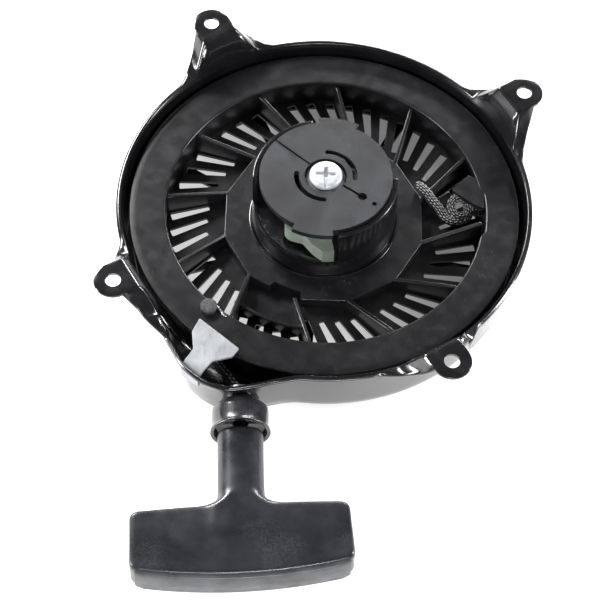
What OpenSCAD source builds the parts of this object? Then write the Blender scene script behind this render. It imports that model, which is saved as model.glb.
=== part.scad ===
/* [Housing] */
// Diameter of the circle that the four ear holes lie on
ear_pcd = 228; // [226:1:232]
// Diameter of each ear hole
ear_hole_d = 7.4; // [6.2:0.1:8.6]
// Direction of the first ear, counter-clockwise from +X
ear_angle = 32.7; // [28:0.1:37]
// Outside radius of the drawn wall just under its lip
wall_r = 99.5; // [99:0.1:101]
// Distance from the ear faces down to the flat back
shell_depth = 50; // [50:0.5:54]
// Sheet thickness
sheet = 1.5; // [1.2:0.1:1.8]

/* [Sheave] */
// Radius of the upper rope flange
flange_r = 95; // [94:0.5:96]
// Inside radius of the flange ring
flange_bore_r = 77; // [76.5:0.1:77.5]
// Radius of the rope groove's floor
groove_r = 83.5; // [83:0.1:83.8]
// Number of slanted ribs
rib_count = 12; // [12:12:12]
// Width of each vent slot in the web, at its outer end
slot_w = 4.4; // [3.6:0.1:4.6]

/* [Hub] */
// Outside radius of the pawl hub
hub_r = 35; // [34.6:0.1:35.4]
// Radius of the centre post
post_r = 7.95; // [7.9:0.01:7.99]
// Radius of the retainer disc
retainer_r = 31.8; // [31:0.1:31.9]

/* [Rope and handle] */
// Rope diameter
rope_d = 4.5; // [4:0.1:4.6]
// Overall width of the T-handle
handle_w = 100; // [90:1:110]
// Thickness of the T-handle's bar
handle_t = 17; // [15:0.5:20]
// Diameter of the handle's stem
stem_d = 22; // [20:0.5:24]

/* [Hidden] */
$fn = 96;

// Heights, with z = 0 at the ear faces
lip_z = -15.4;
lip_roll_r = 1.6;
back_z = -shell_depth;
flange_top = -20;
flange_t = 2;
low_flange_top = -35.5;
web_top = -34;
web_t = 1.6;
rope_z = -30;
platform_top = -28.5;
rib_top_out = -22;
deck_top = -17;
hub_low_top = -16.3;
hub_top = 4.5;

// Housing
ear_r = ear_pcd / 2;
ear_end_r = 9.2;
ear_bend_r = 106.4;
ear_foot_r = 99;
ear_foot_half = 23;
shoulder_r = 9;
vent_in = 46;
vent_out = 84;
vents = [[-58, -12], [-8, 27], [31, 62], [66, 114], [118, 149], [153, 196], [200, 236], [242, 262], [268, 298]];
bulge = [
    [-77.5, -63], [-73, -76], [-62.5, -96.5], [-53, -104.5], [-43, -110], [-32, -109.5],
    [-20, -105.5], [0, -100.8], [0, -60], [-50, -40]
];
bulge_inset = 1 - 1.6 / 112;
bulge_floor = -46;

// Outlet axis: it starts in the shell wall and leans a little towards +X
outlet_x = -34.2;
outlet_y = -106;
outlet_z = -31;
outlet_lean = 4.2;
collar_r = 14;
collar_len = 16;
eyelet_r = 5.6;
rope_r = rope_d / 2;
rope_bore_r = 3;

// Guard strap corners, seen from the engine side
strap = [
    [-55.5, -69.5], [-36.5, -84.5], [-39.5, -90], [-48.5, -94], [-53.3, -101],
    [-61.3, -94.9], [-57, -86.5], [-58.5, -77]
];
strap_top = -16.6;
strap_t = 1.4;

// Sheave
low_flange_r = 94;
drum_wall_t = 2;
bar_tangent_r = 25;
rib_t = 2;
rib_in_r = 49;
rib_out_r = 77.4;
rib_first = -3;
rib_pitch = 360 / rib_count;
slot_in_r = 57;
slot_out_r = 75;
slots_per_bay = 4;
slot_shift = 0.45;
slot_w_in = 2.8;
platform_r = 50;
platform_turn = -13.5;
hub_wall_t = 2.7;
boss_r = 11;
post_clear = 0.07;
hub_gap = 0.02;
spring_wall_in = 35.5;
spring_wall_out = 37.5;
spring_wall_bottom = -47.3;
tall_walls = [[-77, 3], [103, 183]];
pocket_from = -126;
pocket_to = -97;
pocket_wall_r = 65;
knot_ledge = [[70, 24], [62, 14.5], [72.5, 6.5], [77.8, 4.5], [75, 22]];
ledge_wall = [[57.4, 12], [61.3, 16.1]];
peg_angle = -130;
peg_r = 4;
peg_at_r = 80.6;

// Rope
winding_in = groove_r + 0.1;
winding_out = 88;
winding_h = 9;
lead_r = winding_out + rope_r + 0.35;
lead_end = 7.6;
handle_rope_start = -6.15;
eyelet_in = [outlet_x - lead_end * sin(outlet_lean), outlet_y + lead_end * cos(outlet_lean), outlet_z];
lead_turn = atan2(eyelet_in[1], eyelet_in[0]) - acos(lead_r / norm([eyelet_in[0], eyelet_in[1]]));
lead_start = [lead_r * cos(lead_turn), lead_r * sin(lead_turn), rope_z];
lead_steps = 5;
knot_route = [
    [82.5, 10, -30], [79, 10, -30], [73.5, 10, -30.3], [68.5, 6.5, -31], [64, 6.5, -29.5], [62, 11, -27.5],
    [66, 15, -27], [70.5, 12, -28], [70.5, 6.5, -31.5], [65, 3.5, -31.5], [60, 5, -31], [56.5, 9, -28.6],
    [53, 12.2, -26.8], [50, 15.5, -25], [47, 18.5, -25], [45, 20, -25.4]
];

// Pawls, drawn for the one at the bottom; the other is half a turn away
pawl_pivot_r = 23;
pawl_pivot_angle = -125;
pawl_pivot = pawl_pivot_r * [cos(pawl_pivot_angle), sin(pawl_pivot_angle)];
pawl_bottom = -16;
pawl_top = -7.5;
pawl_reach = 34.7;
pawl_tip_angle = -80;
pawl_boss_r = 5.2;
pawl_back = [[0, -34.2], [-2.5, -32.5], [-4.5, -30.8], [-7.3, -27.5], [-9.3, -25.2]];
pivot_post_r = 3;
pawl_pin_r = 1.6;
pawl_pin_at = [-7, -23.9];
pawl_pin_top = 2.3;

// Retainer
retainer_top = 6;
retainer_t = 3;
opening_r = 10;
tab_r = 34.8;
tabs = [[-115, -82], [65, 98]];
arc_slots = [[-3, 89], [177, 269]];
arc_slot_r = 14;
arc_slot_w = 2.4;
cam_bottom = 0.5;
cam_path = [[-7, -23.9], [-2.5, -26.9], [2.7, -28.6]];
cam_groove_r = 2.6;

// Handle, measured along the outlet axis from its start
stem_start = 16.5;
bar_start = 55.6;
bar_start_bow = 1.4;
bar_end = 90.3;
bar_end_bow = 5;
bar_taper = 0.8;
bar_turn = 2.4;
bar_corner_r = 5;
cap_t = 2;
cap_drop = 1.3;
cap_step = 8;
knot_room_r = 7;
knot_room_from = 60;

// Points and frames
function polar(r, a) = [r * cos(a), r * sin(a)];
function arc(r, a0, a1, n) = [for (i = [0:n]) polar(r, a0 + (a1 - a0) * i / n)];
function unit(v) = v / norm(v);
function tangent(p, i) = unit(p[min(i + 1, len(p) - 1)] - p[max(i - 1, 0)]);
function tube_ring(p, i, r, n) =
    let (t = tangent(p, i), s = unit(cross([0, 0, 1], t)), u = cross(t, s))
    [for (k = [0:n - 1]) p[i] + r * (cos(360 * k / n) * s + sin(360 * k / n) * u)];
function tube_faces(m, n) = concat(
    [[for (k = [0:n - 1]) k]],
    [for (i = [0:m - 2], k = [0:n - 1])
        [i * n + k, (i + 1) * n + k, (i + 1) * n + (k + 1) % n, i * n + (k + 1) % n]],
    [[for (k = [n - 1:-1:0]) (m - 1) * n + k]]
);
function helix(r, z0, z1, turns, per_turn, at) =
    let (n = turns * per_turn)
    [for (i = [0:n]) [at[0] + r * cos(360 * turns * i / n), at[1] + r * sin(360 * turns * i / n),
        z0 + (z1 - z0) * i / n]];
function along(a, b, n) = [for (i = [0:n]) a + (b - a) * i / n];

// A closed tube of radius r along the points p
module tube(p, r, n = 8) {
    polyhedron(
        points = [for (i = [0:len(p) - 1]) each tube_ring(p, i, r, n)],
        faces = tube_faces(len(p), n)
    );
}

// A flat ring sector between two radii and two angles less than 180 degrees apart
module sector(r_in, r_out, a0, a1) {
    intersection() {
        difference() {
            circle(r = r_out);
            circle(r = r_in);
        }
        polygon(concat([[0, 0]], arc(2 * r_out, a0, a1, 4)));
    }
}

// Extrudes a flat shape from z0 up to z1
module slab(z0, z1) {
    translate([0, 0, z0]) linear_extrude(height = z1 - z0) children();
}

module ring(r_in, r_out, z0, z1) {
    slab(z0, z1) difference() {
        circle(r = r_out);
        circle(r = r_in);
    }
}

// Puts +Z along the outlet axis and +Y upwards
module at_outlet() {
    translate([outlet_x, outlet_y, outlet_z]) rotate([0, 0, outlet_lean]) rotate([90, 0, 0]) children();
}

// A slot that widens outwards, on a line tangent to the swirl circle, ending at angle a
module slanted_slot(a) {
    x_in = sqrt(slot_in_r * slot_in_r - bar_tangent_r * bar_tangent_r);
    x_out = sqrt(slot_out_r * slot_out_r - bar_tangent_r * bar_tangent_r);
    rotate(a + asin(bar_tangent_r / slot_out_r)) translate([0, -bar_tangent_r]) polygon([
        [x_in, -slot_w_in / 2], [x_out, -slot_w / 2], [x_out, slot_w / 2], [x_in, slot_w_in / 2]
    ]);
}

// Housing
module bowl(inset, top) {
    r_wall = wall_r - inset;
    r_foot = wall_r - 2.5 - inset;
    r_round = shoulder_r - inset;
    z_floor = back_z + inset;
    rotate_extrude() polygon(concat(
        [[0, z_floor]],
        [for (i = [0:6]) [r_foot - r_round, z_floor + r_round] + polar(r_round, -90 + 15 * i)],
        [[r_wall, lip_z], [r_wall, top], [0, top]]
    ));
}

module ear() {
    intersection() {
        rotate([90, 0, 0]) translate([0, 0, -ear_foot_half]) linear_extrude(height = 2 * ear_foot_half)
            polygon([
                [ear_foot_r - 0.7, -24], [ear_foot_r - 1, -16], [ear_bend_r, 0], [ear_r + ear_end_r, 0],
                [ear_r + ear_end_r, -sheet], [ear_bend_r + 1, -sheet], [ear_foot_r + 1, -17], [ear_foot_r + 0.6, -24]
            ]);
        slab(-25, 1) difference() {
            union() {
                translate([ear_r, 0]) circle(r = ear_end_r);
                polygon([
                    [ear_foot_r - 5, -ear_foot_half], [ear_foot_r + 2, -ear_foot_half + 3],
                    [ear_r - 1, -ear_end_r], [ear_r - 1, ear_end_r],
                    [ear_foot_r + 2, ear_foot_half - 3], [ear_foot_r - 5, ear_foot_half]
                ]);
            }
            translate([ear_r, 0]) circle(d = ear_hole_d);
        }
    }
}

module housing_shell() {
    color("#17171a") difference() {
        union() {
            bowl(0, lip_z);
            translate([0, 0, lip_z]) rotate_extrude() translate([wall_r - 0.1, 0])
                circle(r = lip_roll_r, $fn = 24);
            slab(bulge_floor, lip_z + 1) polygon(bulge);
            for (i = [0:3]) rotate(ear_angle + 90 * i) ear();
        }
        difference() {
            bowl(sheet, lip_z + 3);
            for (i = [0:3]) rotate(ear_angle + 90 * i) ear();
        }
        slab(bulge_floor + sheet, lip_z + 3) scale(bulge_inset) polygon(bulge);
        for (v = vents) slab(back_z - 1, back_z + sheet + 1) sector(vent_in, vent_out, v[0], v[1]);
        slab(back_z - 1, back_z + sheet + 1) circle(r = 5);
        at_outlet() translate([0, 0, -8]) cylinder(r = 9.1, h = 16);
    }
}

module rope_guard_strap() {
    color("#c9cbd0") union() {
        slab(strap_top - strap_t, strap_top) polygon(strap);
        slab(strap_top - 8, strap_top) polygon([[-53.3, -101], [-61.3, -94.9], [-60.5, -93.8], [-52.6, -99.8]]);
    }
}

module outlet_collar() {
    color("#111114") at_outlet() difference() {
        union() {
            translate([0, 0, -4]) cylinder(r = 9, h = 8);
            translate([0, 0, 3.75]) cylinder(r = collar_r, h = 3.65);
            translate([0, 0, 7]) cylinder(r = collar_r - 1.5, h = collar_len - 7);
        }
        translate([0, 0, -5]) cylinder(r = eyelet_r, h = 9);
        translate([0, 0, 3]) cylinder(r = rope_bore_r + 0.6, h = collar_len);
    }
}

module rope_eyelet() {
    color("#8d9096") at_outlet() translate([0, 0, -5]) difference() {
        union() {
            cylinder(r = eyelet_r - 0.02, h = 8.9);
            translate([0, 0, -1]) cylinder(r = eyelet_r + 1.6, h = 1.8);
        }
        translate([0, 0, -2]) cylinder(r = rope_bore_r, h = 13);
    }
}

module centre_post() {
    color("#8b8e93") difference() {
        union() {
            translate([0, 0, back_z]) cylinder(r = 4.97, h = sheet + 1);
            translate([0, 0, back_z + sheet]) cylinder(r = 11, h = 1.7);
            translate([0, 0, back_z + sheet]) cylinder(r = post_r, h = -3 - back_z - sheet);
        }
        translate([0, 0, -24]) cylinder(r = 3.04, h = 22);
    }
}

module post_thrust_washer() {
    color("#a9acb1") ring(post_r + 0.15, boss_r, -3.9, -3.1);
}

// The spring is a strip wound from the post out to the sheave's spring wall
module recoil_spring() {
    turns = 10;
    steps = 24 * turns;
    r_in = 9;
    r_out = spring_wall_in - 1.2;
    strip = 0.8;
    spiral = [for (i = [0:steps]) polar(r_in + (r_out - r_in) * i / steps, 360 * turns * i / steps)];
    spiral_out = [for (i = [steps:-1:0])
        polar(r_in + strip + (r_out - r_in) * i / steps, 360 * turns * i / steps)];
    color("#5d6167") slab(-46.5, -41) polygon(concat(spiral, spiral_out));
}

module spring_keeper() {
    color("#6c6f74") ring(12.5, spring_wall_out, spring_wall_bottom - 0.8, spring_wall_bottom - 0.1);
}

// Sheave
module sheave_rings() {
    slab(flange_top - flange_t, flange_top) difference() {
        circle(r = flange_r);
        circle(r = flange_bore_r);
    }
    ring(flange_bore_r, flange_bore_r + drum_wall_t, low_flange_top - flange_t, flange_top);
    ring(groove_r - drum_wall_t, groove_r, low_flange_top - flange_t, flange_top);
    ring(flange_bore_r, low_flange_r, low_flange_top - flange_t, low_flange_top);
    ring(spring_wall_in, spring_wall_out, spring_wall_bottom, web_top);
}

module sheave_web() {
    slab(web_top - web_t, web_top) difference() {
        circle(r = flange_bore_r + 1);
        circle(r = hub_r + hub_gap);
        for (bay = [0:rib_count - 1], k = [0:slots_per_bay - 1])
            slanted_slot(rib_first + rib_pitch * (bay + (k + slot_shift) / slots_per_bay));
    }
    slab(web_top - web_t, web_top) sector(platform_r - 1, pocket_wall_r, pocket_from, pocket_to);
    slab(web_top - 0.5, -28) sector(pocket_wall_r - 1, pocket_wall_r + 1, pocket_from - 2, pocket_to + 2);
}

module sheave_rib(a) {
    x_in = sqrt(rib_in_r * rib_in_r - bar_tangent_r * bar_tangent_r);
    x_out = sqrt(rib_out_r * rib_out_r - bar_tangent_r * bar_tangent_r);
    rotate(a + asin(bar_tangent_r / slot_out_r)) translate([0, -bar_tangent_r + rib_t / 2, 0]) rotate([90, 0, 0])
        linear_extrude(height = rib_t)
            polygon([[x_in, web_top - 0.5], [x_out, web_top - 0.5], [x_out, rib_top_out], [x_in, platform_top]]);
}

// The raised platform between the hub and the ribs, with a notch over the deep pocket
module sheave_platform() {
    slab(platform_top - 2.2, platform_top) difference() {
        rotate(platform_turn) circle(r = platform_r, $fn = 12);
        circle(r = hub_r + hub_gap);
        sector(45, 60, pocket_from + 5, pocket_to - 3);
    }
    slab(web_top - 0.5, platform_top) difference() {
        rotate(platform_turn) circle(r = platform_r, $fn = 12);
        rotate(platform_turn) circle(r = platform_r - 2, $fn = 12);
        sector(40, 60, pocket_from + 5, pocket_to - 3);
    }
    slab(web_top - 0.5, platform_top) sector(43, 45, pocket_from + 4, pocket_to - 2);
    ring(hub_r + hub_gap, hub_r + 1.6, platform_top - 1, platform_top + 0.9);
}

// The pocket where the rope is knotted: a ledge at flange level and a short wall
module sheave_knot_pocket() {
    slab(flange_top - flange_t, flange_top) polygon(knot_ledge);
    wall_dir = unit(ledge_wall[1] - ledge_wall[0]);
    wall_side = 0.8 * [-wall_dir[1], wall_dir[0]];
    slab(web_top - 0.5, -24) polygon([
        ledge_wall[0] - wall_side, ledge_wall[1] - wall_side,
        ledge_wall[1] + wall_side, ledge_wall[0] + wall_side
    ]);
}

module pawl_posts() {
    for (turn = [0, 180]) rotate(turn) translate([pawl_pivot[0], pawl_pivot[1], deck_top - 1])
        cylinder(r = pivot_post_r, h = 14.5, $fn = 48);
}

module rope_sheave() {
    color("#1b1b1e") difference() {
        union() {
            sheave_rings();
            sheave_web();
            for (bay = [0:rib_count - 1]) sheave_rib(rib_first + rib_pitch * bay);
            sheave_platform();
            sheave_knot_pocket();
        }
        translate([74, 10, rope_z]) rotate([0, 90, 0]) cylinder(r = rope_r + 0.4, h = 13, $fn = 48);
    }
}

// The hub that carries the pawls: a low wall all round, two tall walls, and a deck with two pivot posts
module pawl_hub() {
    color("#19191c") union() {
        ring(post_r + post_clear, boss_r, web_top - web_t, -4);
        ring(post_r + post_clear, hub_r - 1, deck_top - web_t, deck_top);
        ring(post_r + post_clear, hub_r - 1, web_top - web_t, web_top);
        ring(hub_r - hub_wall_t, hub_r, web_top - web_t, hub_low_top);
        for (w = tall_walls) slab(deck_top - 1, hub_top) sector(hub_r - hub_wall_t, hub_r, w[0], w[1]);
        pawl_posts();
    }
}

module sheave_peg() {
    color("#4a4b4d") translate([peg_at_r * cos(peg_angle), peg_at_r * sin(peg_angle), flange_top])
        cylinder(r = peg_r, h = 2.6, $fn = 48);
}

module rope_winding() {
    color("#202022") ring(winding_in, winding_out, rope_z - winding_h / 2, rope_z + winding_h / 2);
}

module rope_anchor_knot() {
    color("#26262a") tube(knot_route, rope_r);
}

module rope_lead() {
    color("#202022") tube(along(lead_start, eyelet_in, lead_steps), rope_r);
}

// Pawls
module pawl_shape() {
    slab(pawl_bottom, pawl_top) difference() {
        intersection() {
            circle(r = pawl_reach);
            union() {
                translate(pawl_pivot) circle(r = pawl_boss_r);
                polygon(concat(
                    [pawl_pivot + polar(pawl_boss_r, 45), polar(27.5, pawl_tip_angle - 1)],
                    [polar(40, pawl_tip_angle), polar(40, pawl_tip_angle - 7)],
                    pawl_back, [pawl_pivot + polar(pawl_boss_r, 262)]
                ));
            }
        }
        translate(pawl_pivot) circle(r = pivot_post_r + 0.06, $fn = 48);
    }
    translate([pawl_pin_at[0], pawl_pin_at[1], pawl_top - 1])
        cylinder(r = pawl_pin_r, h = pawl_pin_top - pawl_top + 1, $fn = 32);
}

module pawl_a() {
    color("#a9b3a2") pawl_shape();
}

module pawl_b() {
    color("#a9b3a2") rotate(180) pawl_shape();
}

module pawl_spring_shape() {
    tube(helix(pivot_post_r + 0.9, pawl_top + 0.8, -4.4, 3, 12, pawl_pivot), 0.4);
}

module pawl_spring_a() {
    color("#9a9da3") pawl_spring_shape();
}

module pawl_spring_b() {
    color("#9a9da3") rotate(180) pawl_spring_shape();
}

// Retainer
module retainer_disc() {
    color("#2b2c31") difference() {
        union() {
            slab(retainer_top - retainer_t, retainer_top) {
                circle(r = retainer_r);
                for (t = tabs) sector(retainer_r - 2, tab_r, t[0], t[1]);
            }
            ring(opening_r, opening_r + 2, -2, retainer_top);
            ring(7.2, opening_r + 1, -2, -0.8);
            for (turn = [0, 180]) rotate(turn) slab(cam_bottom, retainer_top - 1) sector(19.5, 31, -128, -70);
        }
        slab(-0.8, retainer_top + 1) circle(r = opening_r);
        slab(-3, 0) circle(r = 7.2);
        for (a = arc_slots) {
            slab(retainer_top - retainer_t - 1, retainer_top + 1) {
                sector(arc_slot_r - arc_slot_w / 2, arc_slot_r + arc_slot_w / 2, a[0], a[1]);
                translate(polar(arc_slot_r, a[0])) circle(d = arc_slot_w, $fn = 24);
                translate(polar(arc_slot_r, a[1])) circle(d = arc_slot_w, $fn = 24);
            }
        }
        rotate(142) translate([opening_r - 1, -0.6, retainer_top - 1]) cube([24, 1.2, 3]);
        rotate(-32) translate([opening_r - 1, -0.6, retainer_top - 2]) cube([11, 1.2, 3]);
        rotate(-32) translate([21, 0, retainer_top - 2]) cylinder(r = 2.2, h = 3, $fn = 32);
        rotate(-32.5) translate([28, 0, retainer_top - 1]) cylinder(r = 1.2, h = 2, $fn = 32);
        for (turn = [0, 180]) rotate(turn) slab(cam_bottom - 1, retainer_top - retainer_t)
            for (i = [0:1]) hull() {
                translate(cam_path[i]) circle(r = cam_groove_r, $fn = 32);
                translate(cam_path[i + 1]) circle(r = cam_groove_r, $fn = 32);
            }
    }
}

module brake_spring() {
    color("#a2a5aa") tube(helix(8.3, 0, 2.9, 2.5, 16, [0, 0]), 0.5);
}

module brake_washer() {
    color("#b4b7bc") ring(3.1, 9.3, 3.7, 4.5);
}

module centre_screw() {
    color("#d4d7dc") difference() {
        union() {
            translate([0, 0, 4.5]) cylinder(r = 7.9, h = 3.4);
            translate([0, 0, -22]) cylinder(r = 3, h = 27);
        }
        for (turn = [0, 90]) rotate(turn) translate([-5, -1, 6.2]) cube([10, 2, 3]);
    }
}

// Handle: both long edges of its bar bow out in the middle, and the bar sits slightly turned on the stem
function bar_end_at(x) = bar_end - bar_end_bow * pow(2 * x / handle_w, 2);
bar_end_edge = [for (i = [-6:6]) [cap_step * i, bar_end_at(cap_step * i)]];

module turned_bar() {
    middle = (bar_start + bar_end) / 2;
    translate([0, middle]) rotate(-bar_turn) translate([0, -middle]) children();
}

module bar_outline() {
    half = handle_w / 2;
    turned_bar() hull() {
        for (side = [-1, 1]) translate([side * (half - bar_taper - bar_corner_r), bar_start + bar_start_bow + bar_corner_r])
            circle(r = bar_corner_r, $fn = 32);
        polygon(concat(bar_end_edge, [[half, bar_end_at(half) - 0.7], [20, bar_start], [-20, bar_start],
            [-half, bar_end_at(half) - 0.7]]));
    }
}

module cap_outline() {
    turned_bar() polygon(concat(bar_end_edge, [for (i = [6:-1:-6]) bar_end_edge[i + 6] + [0, cap_t]]));
}

module handle_grip() {
    color("#25262b") at_outlet() difference() {
        union() {
            translate([0, 0, stem_start]) cylinder(d = stem_d, h = bar_start - stem_start + 6);
            translate([0, handle_t / 2, 0]) rotate([90, 0, 0]) linear_extrude(height = handle_t) bar_outline();
        }
        translate([0, 0, stem_start - 1]) cylinder(r = rope_bore_r, h = 60);
        translate([0, 0, knot_room_from]) cylinder(r = knot_room_r, h = 40);
    }
}

module handle_end_cap() {
    color("#2d2e33") at_outlet() {
        translate([0, handle_t / 2 - cap_drop, 0]) rotate([90, 0, 0])
            linear_extrude(height = handle_t - cap_drop - 0.5) cap_outline();
        translate([0, 0, bar_end - 3]) cylinder(r = knot_room_r - 0.1, h = 4);
    }
}

module handle_rope() {
    color("#202022") at_outlet() translate([0, 0, handle_rope_start])
        cylinder(r = rope_r, h = knot_room_from + 3 - handle_rope_start);
}

module handle_knot() {
    color("#26262a") at_outlet() translate([0, 0, knot_room_from + 7]) rotate_extrude() {
        polygon([for (i = [0:12]) [5.2 * sin(15 * i), 4 * cos(15 * i)]]);
    }
}

module handle_washer() {
    color("#a9acb1") at_outlet() translate([0, 0, knot_room_from]) difference() {
        cylinder(r = knot_room_r - 0.2, h = 1.4);
        translate([0, 0, -1]) cylinder(r = rope_r + 0.15, h = 4);
    }
}

housing_shell();
rope_guard_strap();
outlet_collar();
rope_eyelet();
centre_post();
post_thrust_washer();
recoil_spring();
spring_keeper();
rope_sheave();
pawl_hub();
sheave_peg();
rope_winding();
rope_anchor_knot();
rope_lead();
pawl_a();
pawl_b();
pawl_spring_a();
pawl_spring_b();
retainer_disc();
brake_spring();
brake_washer();
centre_screw();
handle_grip();
handle_end_cap();
handle_rope();
handle_knot();
handle_washer();
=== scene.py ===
import math

import bmesh
import bpy
import numpy as np
from mathutils import Matrix, Quaternion, Vector


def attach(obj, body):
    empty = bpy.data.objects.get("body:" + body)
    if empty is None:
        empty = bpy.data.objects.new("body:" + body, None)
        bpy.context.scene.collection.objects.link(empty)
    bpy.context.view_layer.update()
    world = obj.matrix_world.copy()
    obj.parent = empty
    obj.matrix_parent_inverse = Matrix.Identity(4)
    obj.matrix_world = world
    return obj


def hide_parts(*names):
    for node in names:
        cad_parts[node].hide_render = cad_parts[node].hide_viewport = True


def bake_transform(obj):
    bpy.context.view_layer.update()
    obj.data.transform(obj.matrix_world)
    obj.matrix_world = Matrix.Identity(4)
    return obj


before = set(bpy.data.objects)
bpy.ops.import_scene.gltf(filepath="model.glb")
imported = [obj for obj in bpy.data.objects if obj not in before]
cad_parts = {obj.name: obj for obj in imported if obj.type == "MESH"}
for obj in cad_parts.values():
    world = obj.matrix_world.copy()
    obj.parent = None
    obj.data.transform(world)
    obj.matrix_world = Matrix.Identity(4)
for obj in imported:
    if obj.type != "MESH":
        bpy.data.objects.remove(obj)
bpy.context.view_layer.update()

# Lengths below are in millimetres, in the frame of the CAD model, and become metres when a mesh is made.
MM = 0.001

# Heights, with 0 at the ear faces
FLOOR_Z = -50.4
WEB_TOP = -34.0
WEB_BOTTOM = -35.6
PLATFORM_TOP = -28.5
HUB_TOP = 4.5
ROPE_Z = -30.0

ROPE_R = 2.25

# The swirl of the ribs and slots: their lines are tangent to a circle of this radius
SWIRL_R = 25.0
RIB_COUNT = 12
RIB_FIRST = -3.0
RIB_PITCH = 360.0 / RIB_COUNT

# The four ears and the outlet axis
EAR_ANGLES = [32.7 + 90 * i for i in range(4)]
EAR_HOLE_AT = 114.0
EAR_HOLE_R = 3.7
OUTLET = Vector((-34.2, -106.0, -31.0))
OUTLET_LEAN = math.radians(4.2)

# The handle's bar, along the outlet axis
BAR_START, BAR_END = 55.6, 90.3
BAR_MIDDLE = (BAR_START + BAR_END) / 2
BAR_TURN = math.radians(2.4)


# ---------------------------------------------------------------- small helpers

def polar(r, degrees, z=None):
    """The point at radius r and that angle, in the plane or at height z."""
    a = math.radians(degrees)
    if z is None:
        return (r * math.cos(a), r * math.sin(a))
    return (r * math.cos(a), r * math.sin(a), z)


def smooth(t):
    """0 below 0, 1 above 1, with a smooth step between."""
    t = min(1.0, max(0.0, t))
    return t * t * (3 - 2 * t)


def lerp(a, b, t):
    return a + (b - a) * t


def angle_between(a, b):
    """The signed difference a - b in degrees, from -180 to 180."""
    return (a - b + 180) % 360 - 180


def outlet_point(x, y, along):
    """A point given across, above and along the outlet axis."""
    c, s = math.cos(OUTLET_LEAN), math.sin(OUTLET_LEAN)
    return OUTLET + Vector((x * c + along * s, x * s - along * c, y))


def make(name, verts, faces, material, body, sharp=38.0):
    """A mesh piece from points in millimetres that rides on a body."""
    mesh = bpy.data.meshes.new(name)
    mesh.from_pydata([Vector(v) * MM for v in verts], [], [list(f) for f in faces])
    mesh.validate()
    bm = bmesh.new()
    bm.from_mesh(mesh)
    bmesh.ops.remove_doubles(bm, verts=bm.verts, dist=1e-7)
    bmesh.ops.recalc_face_normals(bm, faces=bm.faces)
    bm.to_mesh(mesh)
    bm.free()
    obj = bpy.data.objects.new(name, mesh)
    bpy.context.scene.collection.objects.link(obj)
    mesh.materials.append(material)
    shade(obj, sharp)
    if body:
        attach(obj, body)
    return obj


def shade(obj, sharp=38.0):
    """Smooth shading with edges sharper than an angle kept crisp."""
    obj.data.shade_smooth()
    obj.data.set_sharp_from_angle(angle=math.radians(sharp))


def bevel(obj, width, segments=3, angle=32.0):
    """Rounds the edges of a piece by width millimetres."""
    m = obj.modifiers.new("round", "BEVEL")
    m.width = width * MM
    m.segments = segments
    m.limit_method = "ANGLE"
    m.angle_limit = math.radians(angle)
    m.use_clamp_overlap = True
    return obj


def apply_all(obj, sharp=38.0):
    """Replaces the mesh of a piece by its shape with the modifiers applied."""
    dg = bpy.context.evaluated_depsgraph_get()
    dg.update()
    mesh = bpy.data.meshes.new_from_object(obj.evaluated_get(dg), depsgraph=dg)
    obj.modifiers.clear()
    old = obj.data
    obj.data = mesh
    bpy.data.meshes.remove(old)
    shade(obj, sharp)
    return obj


def cut(obj, cutters, operation="DIFFERENCE", sharp=38.0):
    """Cuts pieces out of obj, and removes the cutters."""
    for c in cutters:
        m = obj.modifiers.new("cut", "BOOLEAN")
        m.operation = operation
        m.solver = "EXACT"
        m.object = c
    apply_all(obj, sharp)
    for c in cutters:
        bpy.data.objects.remove(c)
    return obj


def grid_faces(rows, cols, close_rows=False, close_cols=False, keep=None):
    """Quads of a grid of points stored row by row. keep(row, col) says which stay."""
    faces = []
    for i in range(rows if close_rows else rows - 1):
        for j in range(cols if close_cols else cols - 1):
            if keep and not keep(i, j):
                continue
            a, b = (i + 1) % rows, (j + 1) % cols
            faces.append((i * cols + j, i * cols + b, a * cols + b, a * cols + j))
    return faces


def lathe(profile, steps=180, axis=None):
    """Points and faces of a closed profile of (r, z) turned about Z, or placed by axis(x, y, z)."""
    verts = []
    for r, z in profile:
        for k in range(steps):
            a = 2 * math.pi * k / steps
            p = (r * math.cos(a), r * math.sin(a), z)
            verts.append(axis(*p) if axis else p)
    return verts, grid_faces(len(profile), steps, close_rows=True, close_cols=True)


def rounded(points, radius, segments=4):
    """A closed outline with each corner rounded by a curve that starts radius away from it."""
    out = []
    n = len(points)
    for i, p in enumerate(points):
        p = Vector(p)
        a, b = Vector(points[i - 1]) - p, Vector(points[(i + 1) % n]) - p
        d = min(radius, a.length * 0.45, b.length * 0.45)
        start, end = p + a.normalized() * d, p + b.normalized() * d
        for k in range(segments + 1):
            t = k / segments
            out.append(start * (1 - t) ** 2 + p * 2 * t * (1 - t) + end * t * t)
    return [tuple(q) for q in out]


def prism(outline, z0, z1):
    """Points and faces of a flat outline raised from z0 to z1."""
    n = len(outline)
    verts = [(x, y, z0) for x, y in outline] + [(x, y, z1) for x, y in outline]
    faces = [tuple(range(n - 1, -1, -1)), tuple(range(n, 2 * n))]
    faces += [(i, (i + 1) % n, n + (i + 1) % n, n + i) for i in range(n)]
    return verts, faces


def sector_outline(r_in, r_out, a0, a1, step=2.0):
    """The outline of a flat ring sector."""
    n = max(2, int(abs(a1 - a0) / step))
    angles = [lerp(a0, a1, i / n) for i in range(n + 1)]
    return [polar(r_out, a) for a in angles] + [polar(r_in, a) for a in reversed(angles)]


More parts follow.
